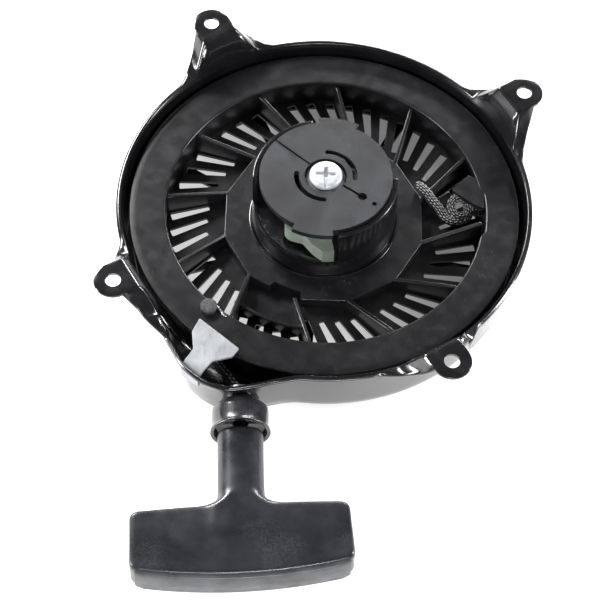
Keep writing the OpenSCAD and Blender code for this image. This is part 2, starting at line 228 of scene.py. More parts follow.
def arc_wall(r_in, r_out, z0, z1, a0, a1, edge=0.6):
    """A curved wall with a rounded top, from angle a0 to a1, with rounded ends."""
    mid, half = (r_in + r_out) / 2, (r_out - r_in) / 2
    section = [(-half, z0), (-half, z1 - edge)]
    section += [(-half + edge * (1 - math.cos(a)), z1 - edge * (1 - math.sin(a)))
                for a in (math.pi / 8, math.pi / 4, 3 * math.pi / 8, math.pi / 2)]
    section += [(half - edge * (1 - math.cos(a)), z1 - edge * (1 - math.sin(a)))
                for a in (math.pi / 2, 3 * math.pi / 8, math.pi / 4, math.pi / 8)]
    section += [(half, z1 - edge), (half, z0)]
    n = max(3, int(abs(a1 - a0) / 1.5))
    end = math.degrees(edge / mid)
    stations = [(a0, 0.55), (a0 + end * 0.3, 0.85), (a0 + end, 1.0)]
    stations += [(lerp(a0, a1, i / n), 1.0) for i in range(1, n)]
    stations += [(a1 - end, 1.0), (a1 - end * 0.3, 0.85), (a1, 0.55)]
    verts = []
    for a, shrink in stations:
        drop = (1 - shrink) * edge
        for d, z in section:
            verts.append(polar(mid + d * (1 - (1 - shrink) * edge / half), a, z - (drop if z > z0 else 0)))
    m = len(section)
    faces = grid_faces(len(stations), m, close_cols=True)
    faces += [tuple(range(m)), tuple(range((len(stations) - 1) * m, len(stations) * m))]
    return verts, faces


def merge(*parts):
    """Joins several (points, faces) into one."""
    verts, faces = [], []
    for v, f in parts:
        base = len(verts)
        verts += list(v)
        faces += [tuple(i + base for i in face) for face in f]
    return verts, faces


def tube(path, radius, sides=10, closed_ends=True):
    """Points and faces of a round tube along a path; radius is a number or one for each point."""
    path = [Vector(p) for p in path]
    verts = []
    side = None
    for i, p in enumerate(path):
        t = (path[min(i + 1, len(path) - 1)] - path[max(i - 1, 0)]).normalized()
        if side is None:
            side = t.orthogonal().normalized()
        side = (side - t * side.dot(t)).normalized()
        up = t.cross(side)
        r = radius[i] if isinstance(radius, (list, tuple)) else radius
        for k in range(sides):
            a = 2 * math.pi * k / sides
            verts.append(p + (side * math.cos(a) + up * math.sin(a)) * r)
    faces = grid_faces(len(path), sides, close_cols=True)
    if closed_ends:
        faces += [tuple(range(sides)), tuple(range((len(path) - 1) * sides, len(path) * sides))]
    return verts, faces


def catmull(points, per_span=12):
    """A smooth curve through the points."""
    pts = [Vector(p) for p in points]
    pts = [pts[0] * 2 - pts[1]] + pts + [pts[-1] * 2 - pts[-2]]
    out = []
    for i in range(1, len(pts) - 2):
        p0, p1, p2, p3 = pts[i - 1:i + 3]
        for k in range(per_span):
            t = k / per_span
            out.append(0.5 * (2 * p1 + (p2 - p0) * t + (2 * p0 - 5 * p1 + 4 * p2 - p3) * t * t
                              + (3 * p1 - p0 - 3 * p2 + p3) * t ** 3))
    out.append(pts[-2])
    return out


def resample(path, step):
    """The path with points a step apart along it."""
    path = [Vector(p) for p in path]
    lengths = [0.0]
    for a, b in zip(path, path[1:]):
        lengths.append(lengths[-1] + (b - a).length)
    n = max(2, int(round(lengths[-1] / step)))
    out, j = [], 0
    for i in range(n + 1):
        s = lengths[-1] * i / n
        while j < len(path) - 2 and lengths[j + 1] < s:
            j += 1
        span = lengths[j + 1] - lengths[j] or 1e-9
        out.append(path[j].lerp(path[j + 1], (s - lengths[j]) / span))
    return out


def surface_nets(field, low, high, step):
    """The surface where field is 0, as quads on a grid. field takes arrays x, y, z and is negative inside."""
    axes = [np.arange(low[i], high[i] + step, step) for i in range(3)]
    x, y, z = np.meshgrid(*axes, indexing="ij")
    v = field(x, y, z)
    shape = tuple(n - 1 for n in v.shape)
    total, count = np.zeros(shape + (3,)), np.zeros(shape)
    corners = [(i, j, k) for i in (0, 1) for j in (0, 1) for k in (0, 1)]

    def corner(c):
        return v[c[0]:c[0] + shape[0], c[1]:c[1] + shape[1], c[2]:c[2] + shape[2]]

    for a in corners:
        for d in range(3):
            if a[d]:
                continue
            b = tuple(a[i] + (i == d) for i in range(3))
            va, vb = corner(a), corner(b)
            hit = (va < 0) != (vb < 0)
            t = np.where(hit, va / np.where(hit, va - vb, 1.0), 0.0)
            for i in range(3):
                total[..., i] += hit * (a[i] + t * (i == d))
            count += hit
    used = count > 0
    index = -np.ones(shape, int)
    index[used] = np.arange(used.sum())
    cell = np.stack(np.nonzero(used), -1)
    points = np.array(low) + step * (cell + total[used] / count[used][:, None])
    quads = []
    inside = v < 0
    for d in range(3):
        e, f = (d + 1) % 3, (d + 2) % 3
        change = np.diff(inside.astype(int), axis=d)
        at = np.stack(np.nonzero(change), -1)
        at = at[(at[:, e] > 0) & (at[:, f] > 0) & (at[:, e] < shape[e]) & (at[:, f] < shape[f])]
        flip = change[tuple(at.T)] > 0
        ring = []
        for de, df in ((0, 0), (1, 0), (1, 1), (0, 1)):
            c = at.copy()
            c[:, e] -= de
            c[:, f] -= df
            ring.append(index[tuple(c.T)])
        q = np.stack(ring, -1)
        q[flip] = q[flip][:, ::-1]
        quads.append(q)
    return [tuple(p) for p in points], [tuple(int(i) for i in q) for q in np.concatenate(quads)]


# ---------------------------------------------------------------- finishes

def node_math(tree, operation, a, b=0.0):
    """A math node of two values, which are numbers or sockets."""
    n = tree.nodes.new("ShaderNodeMath")
    n.operation = operation
    for i, v in enumerate((a, b)):
        if isinstance(v, (int, float)):
            n.inputs[i].default_value = v
        else:
            tree.links.new(v, n.inputs[i])
    return n.outputs["Value"]


def node_ramp(tree, value, low, high, to_low=0.0, to_high=1.0):
    """A smooth step of value from to_low at low to to_high at high."""
    n = tree.nodes.new("ShaderNodeMapRange")
    n.interpolation_type = "SMOOTHSTEP"
    for socket, v in zip(("From Min", "From Max", "To Min", "To Max"), (low, high, to_low, to_high)):
        n.inputs[socket].default_value = v
    tree.links.new(value, n.inputs["Value"])
    return n.outputs["Result"]


def finish(name, color, rough, metallic=0.0, coat=0.0, grain=(900, 0.15), mottle=(60, 0.35), rough_var=0.08,
           dust=None, scuff=None, streak=None, speck=None, sheen=0.0):
    """A procedural finish: mottled base colour and surface grain, with optional dust, scuffs, streaks, specks.

    grain, mottle and streak are (scale per metre, strength); dust, scuff and speck are (scale, amount, colour).
    """
    mat = bpy.data.materials.new(name)
    mat.use_nodes = True
    nt = mat.node_tree
    nodes, links = nt.nodes, nt.links
    bsdf = nodes["Principled BSDF"]
    coord = nodes.new("ShaderNodeTexCoord").outputs["Object"]

    def noise(scale, detail=6.0, distortion=0.0, vector=coord, roughness=0.55):
        n = nodes.new("ShaderNodeTexNoise")
        n.inputs["Scale"].default_value = scale
        n.inputs["Detail"].default_value = detail
        n.inputs["Roughness"].default_value = roughness
        n.inputs["Distortion"].default_value = distortion
        links.new(vector, n.inputs["Vector"])
        return n.outputs["Fac"]

    def remap(value, low, high, to_low=0.0, to_high=1.0):
        return node_ramp(nt, value, low, high, to_low, to_high)

    def math_node(operation, a, b):
        return node_math(nt, operation, a, b)

    def mix_color(fac, a, b):
        n = nodes.new("ShaderNodeMix")
        n.data_type = "RGBA"
        for i, v in ((6, a), (7, b)):
            if isinstance(v, tuple):
                n.inputs[i].default_value = (*v, 1)
            else:
                links.new(v, n.inputs[i])
        links.new(fac, n.inputs[0])
        return n.outputs[2]

    tone = remap(noise(mottle[0], 8, 0.4), 0.3, 0.7)
    dark = tuple(c * (1 - mottle[1]) for c in color)
    light = tuple(min(1.0, c * (1 + mottle[1])) for c in color)
    col = mix_color(tone, dark, light)
    rgh = remap(noise(mottle[0] * 2.3, 7), 0.25, 0.75, rough - rough_var, rough + rough_var)
    height = math_node("MULTIPLY", noise(grain[0], 4, 0.0, coord, 0.6), grain[1])
    if streak:
        stretch = nodes.new("ShaderNodeMapping")
        stretch.inputs["Scale"].default_value = streak[2]
        links.new(coord, stretch.inputs["Vector"])
        lines = noise(streak[0], 5, 0.1, stretch.outputs["Vector"], 0.7)
        height = math_node("ADD", height, math_node("MULTIPLY", lines, streak[1]))
        rgh = math_node("ADD", rgh, math_node("MULTIPLY", remap(lines, 0.35, 0.65, -0.06, 0.08), 1.0))
    if dust:
        spots = remap(noise(dust[0], 9, 0.6), 0.46, 0.68)
        fine = remap(noise(dust[0] * 28, 5), 0.42, 0.62)
        normal = nodes.new("ShaderNodeNewGeometry")
        split = nodes.new("ShaderNodeSeparateXYZ")
        links.new(normal.outputs["Normal"], split.inputs[0])
        facing = remap(split.outputs["Z"], 0.2, 0.9)
        lying = math_node("MULTIPLY", facing, dust[1])
        amount = math_node("MULTIPLY", math_node("MULTIPLY", spots, fine), lying)
        col = mix_color(amount, col, dust[2])
        rgh = math_node("ADD", rgh, math_node("MULTIPLY", amount, 0.35))
    if scuff:
        stretch = nodes.new("ShaderNodeMapping")
        stretch.inputs["Scale"].default_value = (1.0, 0.16, 1.0)
        stretch.inputs["Rotation"].default_value = (0.0, 0.0, 0.5)
        links.new(coord, stretch.inputs["Vector"])
        lines = remap(noise(scuff[0], 3, 0.3, stretch.outputs["Vector"], 0.75), 0.62, 0.68)
        patch = remap(noise(scuff[0] * 0.03, 4), 0.46, 0.66)
        amount = math_node("MULTIPLY", math_node("MULTIPLY", lines, patch), scuff[1])
        col = mix_color(amount, col, scuff[2])
        rgh = math_node("ADD", rgh, math_node("MULTIPLY", amount, 0.2))
    if speck:
        cells = nodes.new("ShaderNodeTexVoronoi")
        cells.inputs["Scale"].default_value = speck[0]
        links.new(coord, cells.inputs["Vector"])
        dots = remap(cells.outputs["Distance"], 0.30, 0.12)
        col = mix_color(math_node("MULTIPLY", dots, speck[1]), col, speck[2])
    bump = nodes.new("ShaderNodeBump")
    bump.inputs["Strength"].default_value = 1.0
    bump.inputs["Distance"].default_value = 0.0003
    links.new(height, bump.inputs["Height"])
    links.new(bump.outputs["Normal"], bsdf.inputs["Normal"])
    links.new(col, bsdf.inputs["Base Color"])
    links.new(rgh, bsdf.inputs["Roughness"])
    bsdf.inputs["Metallic"].default_value = metallic
    bsdf.inputs["Coat Weight"].default_value = coat
    bsdf.inputs["Coat Roughness"].default_value = 0.08
    bsdf.inputs["Sheen Weight"].default_value = sheen
    return mat


PAINT = finish("gloss_paint", (0.006, 0.006, 0.0075), 0.2, coat=0.55, grain=(420, 0.10), mottle=(45, 0.3),
               rough_var=0.06, dust=(55, 0.10, (0.2, 0.2, 0.21)))
COLLAR = finish("collar_gloss", (0.02, 0.02, 0.024), 0.24, coat=0.3, grain=(1500, 0.05), mottle=(120, 0.3),
                streak=(160, 0.12, (1.0, 0.12, 1.0)))
SHEAVE = finish("sheave_satin", (0.006, 0.006, 0.0075), 0.33, grain=(2600, 0.10), mottle=(70, 0.25),
                rough_var=0.04, dust=(160, 0.05, (0.17, 0.17, 0.18)), scuff=(1900, 0.30, (0.2, 0.2, 0.21)))
HUB = finish("hub_gloss", (0.005, 0.005, 0.006), 0.2, coat=0.25, grain=(1200, 0.05), mottle=(90, 0.3),
             rough_var=0.06, dust=(90, 0.10, (0.16, 0.16, 0.17)))
RETAINER = finish("retainer_grain", (0.0085, 0.009, 0.0115), 0.46, grain=(3600, 0.35), mottle=(60, 0.45),
                  dust=(60, 0.12, (0.13, 0.135, 0.15)), scuff=(1500, 0.25, (0.2, 0.2, 0.22)))
PEG = finish("peg_cut", (0.045, 0.045, 0.048), 0.6, grain=(1500, 1.0), mottle=(900, 0.6),
             speck=(1300, 0.5, (0.2, 0.2, 0.21)))
ROPE = finish("rope_braid", (0.012, 0.012, 0.014), 0.6, grain=(5200, 0.8), mottle=(900, 0.5), sheen=0.15,
              streak=(2500, 0.5, (1.0, 1.0, 0.3)))
# Light grey for the painted glints on the ropes' upper sides
PAINTED_GLINT = finish("rope_painted_glint", (0.46, 0.46, 0.47), 0.55, grain=(5200, 0.8), mottle=(1400, 0.35), sheen=0.1)
# Painted shade: the off-white nylon pawl is given the darker grey-green it shows in the shade under the retainer
PAWL = finish("pawl_nylon", (0.19, 0.225, 0.19), 0.42, grain=(1800, 0.15), mottle=(140, 0.16),
              dust=(220, 0.2, (0.16, 0.18, 0.14)))
# Strap finish: its light grey colour is a painted reflection of the lamps on the plate
STRAP = finish("strap_painted_reflection", (0.36, 0.37, 0.39), 0.45, metallic=0.45, grain=(1700, 0.12), mottle=(90, 0.10),
               rough_var=0.1, streak=(900, 0.12, (1.0, 0.12, 1.0)), speck=(260, 0.12, (0.25, 0.25, 0.26)))
STEEL = finish("bare_steel", (0.50, 0.51, 0.53), 0.35, metallic=1.0, grain=(1800, 0.12), mottle=(160, 0.2),
               streak=(700, 0.12, (1.0, 1.0, 0.1)))
SPRING = finish("spring_steel", (0.20, 0.205, 0.22), 0.32, metallic=1.0, grain=(1500, 0.15), mottle=(220, 0.3))
ZINC = finish("bright_zinc", (0.55, 0.57, 0.60), 0.42, metallic=0.35, grain=(300, 0.02), mottle=(260, 0.12),
              rough_var=0.06)
HANDLE = finish("handle_satin", (0.015, 0.016, 0.020), 0.30, coat=0.12, grain=(2300, 0.10), mottle=(34, 0.3),
                rough_var=0.10, dust=(36, 0.07, (0.2, 0.2, 0.22)), scuff=(1100, 0.12, (0.16, 0.16, 0.18)))
CAP = finish("cap_satin", (0.06, 0.062, 0.068), 0.4, grain=(1900, 0.12), mottle=(80, 0.3),
             streak=(300, 0.1, (0.1, 1.0, 1.0)))


# ---------------------------------------------------------------- housing shell

VENTS = [(-58, -12), (-8, 27), (31, 62), (66, 114), (118, 149), (153, 196), (200, 236), (242, 262), (268, 298)]
VENT_IN, VENT_OUT = 46.0, 84.0
LIP_R = 101.0
# Corners of the lip round the rope outlet, where the wall swells outwards
OUTLET_LIP = [(-79.5, -63.5), (-73.3, -77.6), (-67.5, -87.5), (-61.7, -97.3), (-53.6, -103.9), (-47.9, -106.9),
              (-40.8, -109.3), (-29.9, -107.2), (-18.0, -103.6), (-6.5, -100.8)]
# The outer edge of an ear's flank: distance to the side, distance out, height
EAR_FLANK = [(9.2, 114.0, 0.0), (10.4, 112.6, -2.6), (12.0, 111.0, -5.2), (14.0, 108.6, -7.8),
             (17.0, 105.6, -10.6), (20.0, 103.0, -12.7), (23.0, 100.4, -14.1), (27.0, 97.4, -14.9)]


def outlet_swell(a):
    """How far the lip stands out past its circle at angle a."""
    total = 0.0
    for shift in (-1.6, -0.8, 0.0, 0.8, 1.6):
        total += raw_swell(a + shift)
    return total / 5


def raw_swell(a):
    ray = Vector(polar(1, a))
    for p, q in zip(OUTLET_LIP, OUTLET_LIP[1:]):
        p, q = Vector(p), Vector(q)
        edge = q - p
        den = ray.x * edge.y - ray.y * edge.x
        if abs(den) < 1e-9:
            continue
        r = (p.x * edge.y - p.y * edge.x) / den
        s = (p.x * ray.y - p.y * ray.x) / den
        if r > 0 and 0 <= s < 1:
            return max(0.0, r - LIP_R)
    return 0.0


def table_value(table, x):
    """Values of a table of (x, ...) rows at x, with straight lines between the rows."""
    if x <= table[0][0]:
        return table[0][1:]
    for a, b in zip(table, table[1:]):
        if x <= b[0]:
            t = (x - a[0]) / (b[0] - a[0])
            return tuple(lerp(u, v, t) for u, v in zip(a[1:], b[1:]))
    return table[-1][1:]


def shell_section(a):
    """The sheet's closed chain of points at angle a: inside from the middle to the lip, then back outside."""
    d = min((angle_between(a, e) for e in EAR_ANGLES), key=abs)
    ear = a - d
    t = 98.0 * math.sin(math.radians(d))
    side = abs(t)
    in_ear = side < 27 and abs(d) < 30
    swell = outlet_swell(a) * (smooth((side - 9) / 9) if in_ear else 1.0)

    # Each point is (distance out, height, sideways) with sideways None for points on the ray at angle a
    inner = [(r, -48.5, None) for r in (5, 22, 24, 40, VENT_IN, 55, 65, 75, VENT_OUT, 86, 88)]
    outer = [(r, -50.0 + dz, None) for r, dz in ((5, 0), (22, 0), (23, 0.7), (40, 0.7), (VENT_IN, 0), (55, 0),
                                                 (65, 0), (75, 0), (VENT_OUT, 0), (86, 0), (88, 0))]
    for k in range(1, 7):
        c, s = math.cos(math.pi * k / 12), math.sin(math.pi * k / 12)
        inner.append((88 + 7.5 * s, -41 - 7.5 * c, None))
        outer.append((88 + 9 * s, -41 - 9 * c, None))
    for k in range(1, 6):
        inner.append((95.5 + 0.5 * k, -41 + 4.6 * k, None))
        outer.append((97 + 0.5 * k, -41 + 4.5 * k, None))

    if in_ear:
        f = min(1.0, max(0.0, (side - 8.6) / 10.2))
        f = 0.5 * f + 0.5 * smooth(f)
        ridge = (lerp(104.2, math.sqrt(98.7 ** 2 - t * t), f), lerp(0.0, -14.2, f))
        if side < 9.2:
            edge = (114 + math.sqrt(9.2 ** 2 - t * t), 0.0)
        else:
            edge = table_value(EAR_FLANK, side)
        crown, thick = 0.55 * smooth((side - 14) / 10), lerp(1.5, 2.0, smooth((side - 14) / 10))
    else:
        # Beside the strap the lip is only the thin edge of the sheet
        thin = smooth(angle_between(a, -146) / 6) * smooth((-112 - angle_between(a, 0)) / 4)
        ridge, edge = (lerp(98.7, 99.9, thin), lerp(-14.2, -15.2, thin)), (101.0, lerp(-15.0, -15.8, thin))
        crown, thick = lerp(0.55, 0.2, thin), lerp(2.0, 1.4, thin)
        t = None

    wall = inner[-1][:2]
    if in_ear:
        wall = (math.sqrt(wall[0] ** 2 - t * t), wall[1])
    for k in range(1, 6):
        g = k / 6
        inner.append((lerp(wall[0], ridge[0], g ** 1.5), lerp(wall[1], ridge[1], g), t))
    wall_dir = Vector((ridge[0] - wall[0], ridge[1] - wall[1])).normalized()
    pad_dir = Vector((edge[0] - ridge[0], edge[1] - ridge[1])).normalized()
    bend = 1.7 * (1 - smooth((side - 12) / 8)) + 0.7 if in_ear else 0.7
    for g in (0.0, 0.2, 0.4, 0.6, 0.8, 1.0):
        back_off, on = bend * (1 - g) ** 2, bend * g ** 2
        inner.append((ridge[0] - wall_dir.x * back_off + pad_dir.x * on,
                      ridge[1] - wall_dir.y * back_off + pad_dir.y * on, t))
    for g in (0.2, 0.4, 0.6, 0.8):
        inner.append((lerp(ridge[0], edge[0], g), lerp(ridge[1], edge[1], g) + crown * 4 * g * (1 - g), t))
    inner.append((edge[0] - 0.45, edge[1] + 0.02, t))
    inner.append((edge[0] - 0.12, edge[1] - 0.12, t))
    inner.append((edge[0], edge[1] - 0.45, t))

    back = [(edge[0], edge[1] - thick + 0.4, t), (edge[0] - 0.15, edge[1] - thick + 0.1, t),
            (edge[0] - 0.5, edge[1] - thick, t)]
    for g in (0.8, 0.6, 0.4, 0.2):
        back.append((max(lerp(ridge[0], edge[0], g), ridge[0] + 1.2), lerp(ridge[1], edge[1], g) - thick, t))
    back.append((ridge[0] + 1.3, ridge[1] - thick - 0.3, t))
    for k in range(5, 0, -1):
        g = k / 6
        back.append((lerp(wall[0], ridge[0], g ** 1.5) + 1.5, lerp(wall[1], ridge[1], g) - 0.6, t))
    chain = inner + back + outer[::-1]

    points = []
    for rho, z, sideways in chain:
        out = swell * smooth((z + 47.5) / 7) if rho > 90 else 0.0
        if sideways is None:
            points.append(polar(rho + out, a, z))
        else:
            p = Vector(polar(rho, ear)) + Vector(polar(sideways, ear + 90))
            p += p.normalized() * out
            points.append((p.x, p.y, z))
    return points


def in_vent(a):
    return any((a - v0) % 360 < v1 - v0 for v0, v1 in VENTS)


def build_shell():
    angles = set()
    for e in EAR_ANGLES:
        ts = [9.2 * math.sin(math.radians(k)) for k in range(-90, 91, 9)]
        ts += [s * (9.2 + 0.75 * k) for k in range(1, 24) for s in (-1, 1)]
        angles |= {round((e + math.degrees(math.asin(t / 98.0))) % 360, 3) for t in ts}
    for k in range(360):
        if all(abs(angle_between(k, e)) > 15.6 for e in EAR_ANGLES):
            angles.add(float(k))
    edges = {float(x % 360) for v in VENTS for x in v}
    angles = {a for a in angles if all(abs(angle_between(a, e)) > 0.25 for e in edges)} | edges
    angles = sorted(angles)
    sections = [shell_section(a) for a in angles]
    m, n = len(sections[0]), len(sections)
    verts = [p for s in sections for p in s]
    # The vents are the ring of cells between VENT_IN and VENT_OUT, in the inside and the outside skin
    band = range(4, 8)
    mirror = {k: m - 2 - k for k in band}
    faces = []

    def cell_open(i, k):
        mid = angles[i] + ((angles[(i + 1) % n] - angles[i]) % 360) / 2
        return in_vent(mid) and (k in band or k in mirror.values())

    for i in range(n):
        b = (i + 1) % n
        for k in range(m):
            if cell_open(i, k):
                continue
            l = (k + 1) % m
            faces.append((i * m + k, i * m + l, b * m + l, b * m + k))
        if cell_open(i, 4):
            for k in (4, 8):
                q = m - 1 - k
                faces.append((i * m + k, b * m + k, b * m + q, i * m + q))
            if not cell_open(i - 1, 4):
                faces += [(i * m + k, i * m + k + 1, i * m + m - 2 - k, i * m + m - 1 - k) for k in band]
            if not cell_open(b, 4):
                faces += [(b * m + k, b * m + k + 1, b * m + m - 2 - k, b * m + m - 1 - k) for k in band]
    shell = make("shell_skin", verts, faces, PAINT, None, sharp=50)
    cutters = []
    for e in EAR_ANGLES:
        x, y = polar(EAR_HOLE_AT, e)
        outline = [(x + EAR_HOLE_R * math.cos(k * math.pi / 24), y + EAR_HOLE_R * math.sin(k * math.pi / 24))
                   for k in range(48)]
        cutters.append(prism(outline, -4, 3))
    drill = make("drill", *merge(*cutters), PAINT, None)
    cut(shell, [drill], sharp=50)
    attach(shell, "housing")
    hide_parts("housing_shell")
    return shell


build_shell()


# ---------------------------------------------------------------- outlet: strap and collar

def build_strap():
    """The plate over the rope, with its outer end bent down; its light grey colour is a painted reflection."""
    outline = [(-55.5, -69.5), (-36.0, -84.9), (-38.8, -89.6), (-48.0, -92.6), (-54.2, -102.0), (-62.6, -96.0),
               (-57.2, -86.5), (-58.5, -77.0)]
    plate = make("strap_plate", *prism(rounded(outline, 0.7, 3), -18.0, -16.6), STRAP, None)
    bend_from, bend_to = Vector((-58.4, -99.0)), Vector((-0.58, -0.815))
    bm = bmesh.new()
    bm.from_mesh(plate.data)
    for step in range(9):
        at = bend_from - bend_to * (6.0 - step * 0.8)
        bmesh.ops.bisect_plane(bm, geom=bm.verts[:] + bm.edges[:] + bm.faces[:],
                               plane_co=(at.x * MM, at.y * MM, 0), plane_no=(bend_to.x, bend_to.y, 0))
    for v in bm.verts:
        s = (Vector((v.co.x, v.co.y)) / MM - bend_from).dot(bend_to) + 5.5
        if s > 0:
            v.co.z -= 0.085 * s ** 2 * MM
    bm.to_mesh(plate.data)
    bm.free()
    tongue = [(-54.0, -101.7), (-62.3, -95.8), (-61.6, -94.8), (-53.3, -100.7)]
    flange = make("strap_flange", *prism(tongue, -25.4, -19.4), STRAP, None)
    for part in (plate, flange):
        bevel(part, 0.3, 2, 50)
        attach(part, "housing")
    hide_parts("rope_guard_strap")


def build_collar():
    profile = [(3.7, -4.0), (8.6, -4.0), (9.0, -3.6), (9.0, 3.7), (12.2, 3.7), (12.9, 3.9), (13.2, 4.5),
               (13.2, 7.5), (13.15, 11.0), (13.2, 13.6), (13.45, 14.4), (13.9, 15.1), (14.0, 15.6), (13.75, 16.0),
               (12.6, 16.0), (12.2, 15.6), (12.0, 14.6), (11.9, 12.0), (11.4, 11.4), (4.2, 11.2), (3.7, 10.8)]
    verts, faces = lathe(profile, 120, outlet_point)
    collar = make("collar_ring", verts, faces, COLLAR, "housing", sharp=50)
    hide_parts("outlet_collar")


build_strap()
build_collar()


# ---------------------------------------------------------------- sheave

def slanted(a, r_in, r_out, width, width_in=None):
    """The corners of a bar tangent to the swirl circle that ends at angle a on radius 75."""
    width_in = width_in or width
    x_in = math.sqrt(r_in ** 2 - SWIRL_R ** 2)
    x_out = math.sqrt(r_out ** 2 - SWIRL_R ** 2)
    turn = math.radians(a) + math.asin(SWIRL_R / 75)
    c, s = math.cos(turn), math.sin(turn)

    def at(x, y):
        return (x * c - y * s, x * s + y * c)
    return [at(x_in, -SWIRL_R - width_in / 2), at(x_out, -SWIRL_R - width / 2),
            at(x_out, -SWIRL_R + width / 2), at(x_in, -SWIRL_R + width_in / 2)], at, x_in, x_out


def build_sheave():
    pieces = []

    # Flanges and the two drum walls, turned as one profile; the bore swells near the knot pocket
    profile = [(77.85, -20.0), (77.5, -20.1), (77.2, -20.35), (77.04, -20.7), (77.0, -21.1), (77.0, -37.2),
               (77.3, -37.5), (93.4, -37.5), (93.9, -37.3), (94.0, -36.8), (94.0, -36.1), (93.8, -35.6),
               (93.2, -35.5), (84.2, -35.5), (83.6, -35.0), (83.5, -34.4), (83.5, -23.0), (83.7, -22.4),
               (84.3, -22.0), (94.2, -22.0), (94.8, -21.8), (95.0, -21.4), (95.0, -20.5), (94.8, -20.15),
               (94.4, -20.0), (91.0, -20.0), (86.0, -20.02), (80.0, -20.0), (78.6, -20.0)]
    steps = 360
    verts = []
    for r, z in profile:
        for k in range(steps):
            swell = 1.8 * smooth((11 - abs(angle_between(k, 1.5))) / 3)
            inward = swell * smooth((80.5 - r) / 2) if z > -24 else 0.0
            ripple = 0.05 * math.sin(math.radians(k * 3)) if r > 90 else 0.0
            verts.append(polar(r + inward + ripple, k, z))
    faces = grid_faces(len(profile), steps, close_rows=True, close_cols=True)
    pieces.append(make("sheave_flanges", verts, faces, SHEAVE, None, sharp=55))

    # Web with its vent slots
    section = [(35.02, WEB_BOTTOM), (77.5, WEB_BOTTOM), (77.5, WEB_TOP), (35.02, WEB_TOP)]
    web = make("sheave_web", *lathe(section, 240), SHEAVE, None)
    cutters = []
    for bay in range(RIB_COUNT):
        for k in range(4):
            a = RIB_FIRST + RIB_PITCH * (bay + (k + 0.45) / 4)
            in_pocket = abs(angle_between(a, -108)) < 15
            if in_pocket:
                corners = slanted(a, 66.6, 75.0, 4.2, 4.0)[0]
            else:
                corners = slanted(a, 57.0, 75.0, 4.4, 2.8)[0]
            cutters.append(prism(rounded(corners, 0.6, 2), WEB_BOTTOM - 1, WEB_TOP + 1))
    cut(web, [make("slots", *merge(*cutters), SHEAVE, None)])
    bevel(web, 0.22, 2, 40)
    pieces.append(web)

    # Slanted ribs with sloping tops
    for k in range(RIB_COUNT):
        outline, at, x_in, x_out = slanted(RIB_FIRST + RIB_PITCH * k, 49.0, 77.3, 2.1)
        top_in, top_out = PLATFORM_TOP, -22.0
        rib = [(*corner, WEB_TOP - 0.3) for corner in outline]
        for x, y, z in ((x_in, -26.0, top_in), (x_out - 4, -26.0, top_out), (x_out, -26.0, top_out + 0.2),
                        (x_out, -24.0, top_out + 0.2), (x_out - 4, -24.0, top_out), (x_in, -24.0, top_in)):
            rib.append((*at(x, y), z))
        sides = [(3, 2, 1, 0), (4, 5, 8, 9), (5, 6, 7, 8), (0, 1, 6, 5, 4), (1, 2, 7, 6), (2, 3, 9, 8, 7),
                 (3, 0, 4, 9)]
        pieces.append(bevel(make("rib_%d" % k, rib, sides, SHEAVE, None), 0.45, 3))

    # Twelve-sided platform round the hub, with a notch over the deep pocket
    flat = math.cos(math.radians(15)) * 50
    steps = 720
    ring = []
    for r_row, z in ((0, WEB_TOP - 0.3), (0, -28.9), (0.45, -28.5), (1, -28.5), (1, WEB_TOP - 0.3)):
        for k in range(steps):
            a = k * 360 / steps
            outer = flat / math.cos(math.radians((a + 13.5) % 30 - 15))
            notch = smooth((9.8 - abs(angle_between(a, -110.5))) / 0.7)
            outer = lerp(outer, 44.8, notch)
            r = 35.02 if r_row == 0 else (35.5 if r_row < 1 else outer)
            ring.append(polar(r, a, z))
    platform = make("platform", ring, grid_faces(5, steps, True, True), SHEAVE, None, sharp=30)
    pieces.append(bevel(platform, 0.55, 3, 50))
    bead = [(35.02, -28.8), (35.1, -27.9), (35.5, -27.62), (36.2, -27.62), (36.6, -27.9), (36.7, -28.8)]
    pieces.append(make("hub_bead", *lathe(bead, 180), HUB, None))

    # Pocket wall and floor, knot ledge and its short wall
    pieces.append(make("pocket_wall", *arc_wall(63.9, 66.0, WEB_TOP - 0.3, -28.0, -128, -95), SHEAVE, None))
    floor = prism(sector_outline(49.5, 65, -126.5, -96.5), -35.4, -33.9)
    pieces.append(make("pocket_floor", *floor, SHEAVE, None))
    ledge = [(70, 24), (62, 14.5), (72.5, 6.5), (77.8, 4.5), (78.2, 21)]
    ledge = prism(rounded(ledge, 1.0, 3), -22.2, -20.1)
    pieces.append(bevel(make("knot_ledge", *ledge, SHEAVE, None), 0.5, 3))
    wall = [(56.8, 11.6), (61.9, 15.6), (60.8, 16.8), (55.7, 12.8)]
    pieces.append(bevel(make("ledge_wall", *prism(wall, WEB_TOP - 0.3, -24.0), SHEAVE, None), 0.5, 3))

    # Spring wall under the web
    under = [(35.5, -35.0), (37.5, -35.0), (37.5, -47.0), (37.2, -47.3), (35.8, -47.3), (35.5, -47.0)]
    pieces.append(make("spring_wall", *lathe(under, 120), SHEAVE, None))
    for piece in pieces:
        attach(piece, "sheave")
    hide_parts("rope_sheave")


